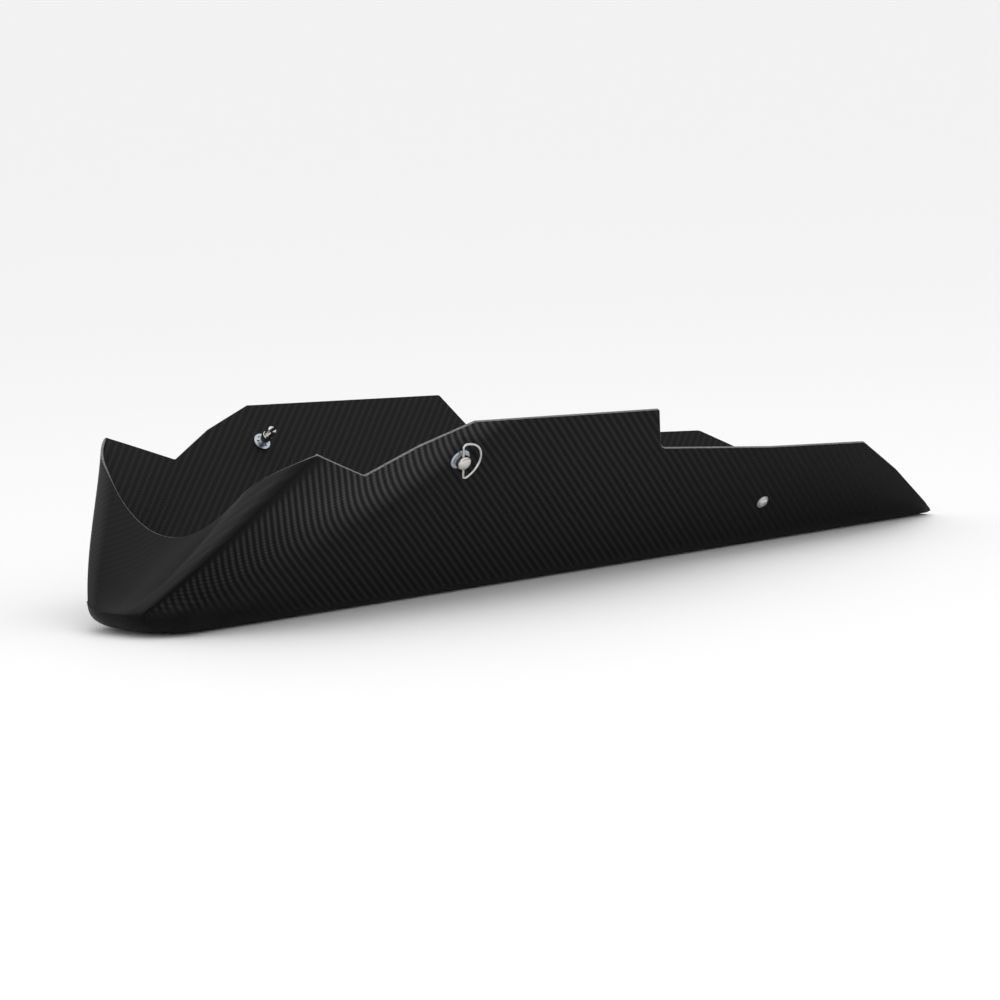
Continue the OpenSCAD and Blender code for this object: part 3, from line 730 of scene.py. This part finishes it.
def screw_object():
    dome_r = (BUTTON_R ** 2 + BUTTON_H ** 2) / (2 * BUTTON_H)
    low = WASHER_T
    bm = bmesh.new()
    threaded(bm)
    dome = [
        (r, low + BUTTON_H - dome_r + math.sqrt((dome_r - 0.02) ** 2 - r * r))
        for r in np.linspace(BUTTON_R - 0.12, 1.9, 14)]
    turned([(SCREW_R - 0.6, SCREW_TIP), (0, SCREW_TIP)], 64, bm)
    neck = [(NECK_R, NECK_END), (NECK_R, low), (BUTTON_R - 0.2, low), (BUTTON_R - 0.06, low + 0.05)]
    turned(neck + dome + [(0, dome[-1][1])], 64, bm)
    obj = solid(bm, "screw")
    top = low + BUTTON_H
    corner = SOCKET_AF / math.sqrt(3)
    depth = SOCKET_DEPTH + 1
    carve(obj, (
        rod(corner, depth, Matrix.Translation((0, 0, top - SOCKET_DEPTH + depth / 2)), 6),
        rod(0.9, 1.2, Matrix.Translation((0, 0, top - 0.15)), 48, 2.3),
    ))
    return obj


def washer_mesh():
    return turned(eased([
        (HOLE_R, 0.15, 0), (HOLE_R + 0.15, 0, 0), (WASHER_R, 0, 0.12), (WASHER_R, WASHER_T, 0.28),
        (HOLE_R + 0.2, WASHER_T, 0.1), (HOLE_R, WASHER_T - 0.2, 0),
    ]))


def pad_mesh():
    middle = (PAD_LOW - LAMINATE) / 2
    return turned(eased([
        (HOLE_R, PAD_LOW, 0), (PAD_R - 0.3, PAD_LOW, 0.1), (PAD_R + 0.02, middle, 1.2),
        (PAD_R - 0.3, -LAMINATE, 0.1), (HOLE_R, -LAMINATE, 0),
    ]))


# Materials
class Nodes:
    """Short form for building a material's nodes."""

    def __init__(self, name):
        self.mat = bpy.data.materials.new(name)
        self.mat.use_nodes = True
        self.tree = self.mat.node_tree
        self.bsdf = self.tree.nodes["Principled BSDF"]

    def put(self, socket, value):
        if isinstance(value, bpy.types.NodeSocket):
            self.tree.links.new(value, socket)
        else:
            socket.default_value = value

    def node(self, kind, out=0, **inputs):
        props = inputs.pop("props", {})
        node = self.tree.nodes.new(kind)
        for key, value in props.items():
            setattr(node, key, value)
        for key, value in inputs.items():
            self.put(node.inputs[key.replace("_", " ")], value)
        return node.outputs[out]

    def math(self, op, a, b=0.0, c=0.0):
        node = self.tree.nodes.new("ShaderNodeMath")
        node.operation = op
        for socket, value in zip(node.inputs, (a, b, c)):
            self.put(socket, value)
        return node.outputs[0]

    def mix(self, t, a, b):
        """Blend of two numbers."""
        return self.math("ADD", a, self.math("MULTIPLY", self.math("SUBTRACT", b, a), t))

    def shade(self, fac, stops):
        node = self.tree.nodes.new("ShaderNodeValToRGB")
        ramp = node.color_ramp
        while len(ramp.elements) < len(stops):
            ramp.elements.new(0.5)
        for item, (pos, colour) in zip(ramp.elements, stops):
            item.position = pos
            item.color = (*colour, 1)
        self.put(node.inputs["Fac"], fac)
        return node.outputs["Color"]

    def finish(self, **inputs):
        for key, value in inputs.items():
            name = key.replace("_", " ")
            self.put(self.bsdf.inputs[name], value)
        return self.mat


def twill(name, warp, weft, contrast, depth, rough, shine, coat, relief):
    """2/2 twill carbon cloth under clear coat, laid by the cloth coordinates.

    warp and weft are the greys of its two tows: the fibre's own black plus a painted sheen that
    makes the warp floats lighter; contrast is that of the fibres, and depth that of the painted
    shade across each tow and in the gaps between tows.
    """
    n = Nodes(name)
    tow = TOW / CLOTH_SCALE
    uv = n.node("ShaderNodeUVMap", props={"uv_map": "cloth"})
    wander = n.node("ShaderNodeTexNoise", out=1, Vector=uv, Scale=1.7, Detail=1.0)
    sway = n.node("ShaderNodeVectorMath", props={"operation": "MULTIPLY_ADD"})
    for socket, value in zip(sway.node.inputs, (wander, (0.012, 0.012, 0), uv)):
        n.put(socket, value)
    xyz = n.node("ShaderNodeSeparateXYZ", Vector=sway).node
    u = n.math("DIVIDE", xyz.outputs[0], tow)
    v = n.math("DIVIDE", xyz.outputs[1], tow)
    i, j = n.math("FLOOR", u), n.math("FLOOR", v)
    phase = n.math("FLOORED_MODULO", n.math("SUBTRACT", i, j), 4.0)
    over = n.math("LESS_THAN", phase, 1.5)
    across_warp = n.math("FRACT", v)
    across_weft = n.math("FRACT", u)
    along_warp = n.math("DIVIDE", n.math("FLOORED_MODULO", n.math("SUBTRACT", u, j), 4.0), 2.0)
    weft_place = n.math("FLOORED_MODULO", n.math("SUBTRACT", v, i), 4.0)
    along_weft = n.math("DIVIDE", n.math("SUBTRACT", weft_place, 1.0), 2.0)
    across = n.mix(over, across_weft, across_warp)
    along = n.mix(over, along_weft, along_warp)
    centred = n.math("ABSOLUTE", n.math("SUBTRACT", n.math("MULTIPLY", across, 2.0), 1.0))
    round_across = n.math("SUBTRACT", 1.0, n.math("POWER", centred, 7.0))
    along = n.math("MINIMUM", n.math("MAXIMUM", along, 0.0), 1.0)
    arch = n.math("SINE", n.math("MULTIPLY", along, math.pi))
    height = n.math("MULTIPLY", round_across, n.math("MULTIPLY_ADD", arch, 0.55, 0.45))
    streaks = []
    for stretch in ((900, 14, 1), (14, 900, 1)):
        place = n.node("ShaderNodeVectorMath", props={"operation": "MULTIPLY"}, Vector=sway)
        place.node.inputs[1].default_value = stretch
        streaks.append(n.node("ShaderNodeTexNoise", Vector=place, Scale=1.0, Detail=2.0))
    streak = n.mix(over, *streaks)
    rib_place = n.math("SUBTRACT", n.math("SUBTRACT", u, v), 0.5)
    rib = n.math("COSINE", n.math("MULTIPLY", rib_place, math.pi / 2))
    # Painted sheen: warp floats and the twill's diagonal ribs are painted lighter, standing in for
    # their reflection
    lit = n.mix(n.mix(0.45, over, n.math("MULTIPLY_ADD", rib, 0.5, 0.5)), weft, warp)
    fibre = n.math("MULTIPLY_ADD", n.math("SUBTRACT", streak, 0.5), contrast, 1.0)
    # Painted shade across each tow and in the gaps between tows
    gap = n.math("MULTIPLY_ADD", height, depth, 1 - depth)
    # Painted light and shade from the mesh's look map: its second value paints the weave plain, its
    # first scales the colour
    painted_light_uv = n.node("ShaderNodeUVMap", props={"uv_map": "look"})
    look = n.node("ShaderNodeSeparateXYZ", Vector=painted_light_uv).node
    plain = (warp + weft) / 2 * (1 - 0.35 * depth)
    woven = n.mix(look.outputs[1], n.math("MULTIPLY", lit, gap), plain)
    grey = n.math("MULTIPLY", n.math("MULTIPLY", woven, fibre), look.outputs[0])
    blue = n.math("MULTIPLY", grey, 1.04)
    colour = n.node("ShaderNodeCombineColor", Red=grey, Green=grey, Blue=blue)
    rough_out = n.math("MULTIPLY_ADD", n.math("SUBTRACT", streak, 0.5), 0.2, rough)
    surface = n.math("MULTIPLY_ADD", streak, 0.15, height)
    bump = n.node("ShaderNodeBump", Strength=relief, Distance=0.0003, Height=surface)
    return n.finish(
        Base_Color=colour, Roughness=rough_out, Normal=bump,
        Specular_IOR_Level=shine, Coat_Weight=coat, Coat_Roughness=0.2, Coat_IOR=1.3)


OBJECT_COORDINATES = 3


def grainy(name, dark, light, rough, scale, detail):
    """Dull material with a fine grain, such as a sawn edge or rubber."""
    n = Nodes(name)
    place = n.node("ShaderNodeTexCoord", out=OBJECT_COORDINATES)
    grain = n.node("ShaderNodeTexNoise", Vector=place, Scale=scale, Detail=detail)
    return n.finish(
        Base_Color=n.shade(grain, [(0.3, dark), (0.7, light)]), Roughness=rough,
        Normal=n.node("ShaderNodeBump", Strength=0.3, Distance=0.0001, Height=grain))


def metal(name, dark, light, rough, scale):
    n = Nodes(name)
    place = n.node("ShaderNodeTexCoord", out=OBJECT_COORDINATES)
    grain = n.node("ShaderNodeTexNoise", Vector=place, Scale=scale, Detail=4.0)
    blotch = n.node("ShaderNodeTexNoise", Vector=place, Scale=260.0, Detail=3.0)
    return n.finish(
        Base_Color=n.shade(blotch, [(0.35, dark), (0.65, light)]), Metallic=1.0,
        Roughness=n.math("MULTIPLY_ADD", grain, 0.16, rough - 0.08),
        Normal=n.node("ShaderNodeBump", Strength=0.08, Distance=0.0001, Height=grain))


MATS = {
    "carbon": twill(
        "carbon_twill", warp=0.021, weft=0.004, contrast=0.9, depth=0.62, rough=0.36,
        shine=0.05, coat=0.03, relief=0.5),
    # Copy of the same cloth with weaker ribs, painted for how the light falls on the nose's face
    "carbon_face_painted_light": twill(
        "carbon_twill_face_painted_light", warp=0.0138, weft=0.011, contrast=0.5, depth=0.3, rough=0.42,
        shine=0.06, coat=0.04, relief=0.15),
    "carbon_back": twill(
        "carbon_inner_skin", warp=0.022, weft=0.012, contrast=0.5, depth=0.62, rough=0.6,
        shine=0.08, coat=0.0, relief=0.6),
    "edge": grainy("laminate_edge", (0.045, 0.045, 0.047), (0.22, 0.22, 0.225), 0.45, 900.0, 3.0),
    "stainless": metal("stainless", (0.62, 0.6, 0.56), (0.74, 0.73, 0.7), 0.24, 2200.0),
    "wire": metal("stainless_wire", (0.66, 0.65, 0.62), (0.78, 0.77, 0.75), 0.16, 2600.0),
    "zinc": metal("zinc_plate", (0.4, 0.46, 0.55), (0.55, 0.6, 0.66), 0.32, 1800.0),
    "rubber": grainy("black_rubber", (0.012, 0.012, 0.012), (0.03, 0.03, 0.03), 0.75, 1500.0, 4.0),
}


def build_shell():
    mesh = shell_mesh()
    for key in SHELL_KEYS:
        mesh.materials.append(MATS[key])
    obj = link(mesh, "pan_laminate")
    holes = ((STUD, BARREL_R + 0.1), (SCREW, HOLE_R))
    carve(obj, [
        rod(r * MM, 0.012, on_wall(*at, side)) for at, r in holes for side in (1, -1)
    ], MATS["edge"])
    smooth(obj.data, 28)
    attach(obj, "pan")
    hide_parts("pan_shell")


def build_fixings(side, word):
    stud_place = on_wall(*STUD, side) @ Matrix.Rotation(math.pi + RING_LEAN, 4, "Z")
    screw_place = on_wall(*SCREW, side)
    if side < 0:
        # Turned back, so that both screws have a right-hand thread
        screw_place = screw_place @ Matrix.Scale(-1, 4, (1, 0, 0))
    turn, ring = word + "_turn", word + "_ring"
    for form, name, place, body, node, key, slot in (
        (grommet_mesh, "flanged_bush", stud_place, "pan", "grommet", "zinc", "zinc_plated"),
        (stud_object, "turn_stud", stud_place, turn, "stud", "stainless", "stainless"),
        (ring_mesh, "pull_ring", stud_place, ring, "wire_ring", "wire", "stainless_wire"),
        (keeper_mesh, "push_on_ring", stud_place, turn, "retaining_ring", "zinc", "zinc_plated"),
        (screw_object, "button_screw", screw_place, "pan", "rear_screw", "stainless", "stainless"),
        (washer_mesh, "flat_washer", screw_place, "pan", "rear_washer", "zinc", "zinc_plated"),
        (pad_mesh, "soft_washer", screw_place, "pan", "rear_soft_washer", "rubber", "black_rubber"),
    ):
        made = form()
        obj = solid(made, f"{word}_{name}") if isinstance(made, bmesh.types.BMesh) else made
        obj.name = f"{word}_{name}"
        seat(obj, place, body, f"{word}_{node}", key)


build_shell()
build_fixings(1, "left")
build_fixings(-1, "right")


# Stage, light and camera
def floor_material():
    n = Nodes("studio_floor")
    seen = n.node("ShaderNodeLightPath")
    level = n.node("ShaderNodeMapRange", Value=seen, To_Min=0.86, To_Max=0.98)
    colour = n.node("ShaderNodeCombineColor", Red=level, Green=level, Blue=level)
    return n.finish(Base_Color=colour, Roughness=0.6)


def floor():
    bm = bmesh.new()
    bmesh.ops.create_grid(bm, x_segments=1, y_segments=1, size=90)
    mesh = bpy.data.meshes.new("studio_floor")
    bm.to_mesh(mesh)
    bm.free()
    plane = link(mesh, "studio_floor")
    plane.location.z = -0.0006
    plane.data.materials.append(floor_material())


def studio():
    """White world, in which reflections see a studio that is darker towards the horizon."""
    world = bpy.data.worlds.new("studio")
    bpy.context.scene.world = world
    world.use_nodes = True
    tree = world.node_tree
    back = tree.nodes["Background"]
    path = tree.nodes.new("ShaderNodeLightPath")
    level = tree.nodes.new("ShaderNodeMapRange")
    level.inputs["To Min"].default_value = 0.94
    level.inputs["To Max"].default_value = 1.0
    tree.links.new(path.outputs["Is Camera Ray"], level.inputs["Value"])
    way = tree.nodes.new("ShaderNodeTexCoord")
    height = tree.nodes.new("ShaderNodeSeparateXYZ")
    tree.links.new(way.outputs["Generated"], height.inputs[0])
    dome = tree.nodes.new("ShaderNodeMapRange")
    for key, value in (("From Min", 0.0), ("From Max", 0.75), ("To Min", 0.3), ("To Max", 1.0)):
        dome.inputs[key].default_value = value
    tree.links.new(height.outputs["Z"], dome.inputs["Value"])
    pick = tree.nodes.new("ShaderNodeMix")
    tree.links.new(path.outputs["Is Glossy Ray"], pick.inputs["Factor"])
    tree.links.new(level.outputs[0], pick.inputs["A"])
    tree.links.new(dome.outputs[0], pick.inputs["B"])
    tree.links.new(pick.outputs["Result"], back.inputs["Strength"])
    back.inputs["Color"].default_value = (1, 1, 1, 1)


def lamp(name, place, at, size, power):
    data = bpy.data.lights.new(name, "AREA")
    data.shape = "RECTANGLE"
    data.size, data.size_y = size
    data.energy = power
    obj = link(data, name)
    obj.location = place
    obj.rotation_euler = (Vector(at) - Vector(place)).to_track_quat("-Z", "Y").to_euler()


# The photo's camera, solved in the pan's own frame
CAMERA_PLACE, CAMERA_AIM = Vector((2.5104, 3.0787, 0.5169)), Vector((0.045, 0.03, 0.062))
CAMERA_UP, CAMERA_ROLL = Vector((-0.0553, 0, 0.99847)), -0.0132
CAMERA_SENSOR, CAMERA_LENS = 36, 182.5


def camera():
    data = bpy.data.cameras.new("camera")
    data.sensor_width = CAMERA_SENSOR
    data.lens = CAMERA_LENS
    data.clip_end = 100
    cam = link(data, "camera")
    look = (CAMERA_AIM - CAMERA_PLACE).normalized()
    flat = look.cross(CAMERA_UP).normalized()
    steep = flat.cross(look)
    cos, sin = math.cos(CAMERA_ROLL), math.sin(CAMERA_ROLL)
    right, up = flat * cos + steep * sin, steep * cos - flat * sin
    turn = Matrix((right, up, -look)).transposed().to_4x4()
    cam.matrix_world = Matrix.Translation(CAMERA_PLACE) @ turn
    bpy.context.scene.camera = cam


floor()
studio()
lamp("overhead", (0.4, 0.6, 2.2), (0, 0, 0), (2.4, 1.6), 8)
lamp("front", (2.2, 1.4, 1.0), (0.2, 0, 0.06), (1.4, 1.0), 3)
camera()
bpy.context.scene.view_settings.view_transform = "Standard"
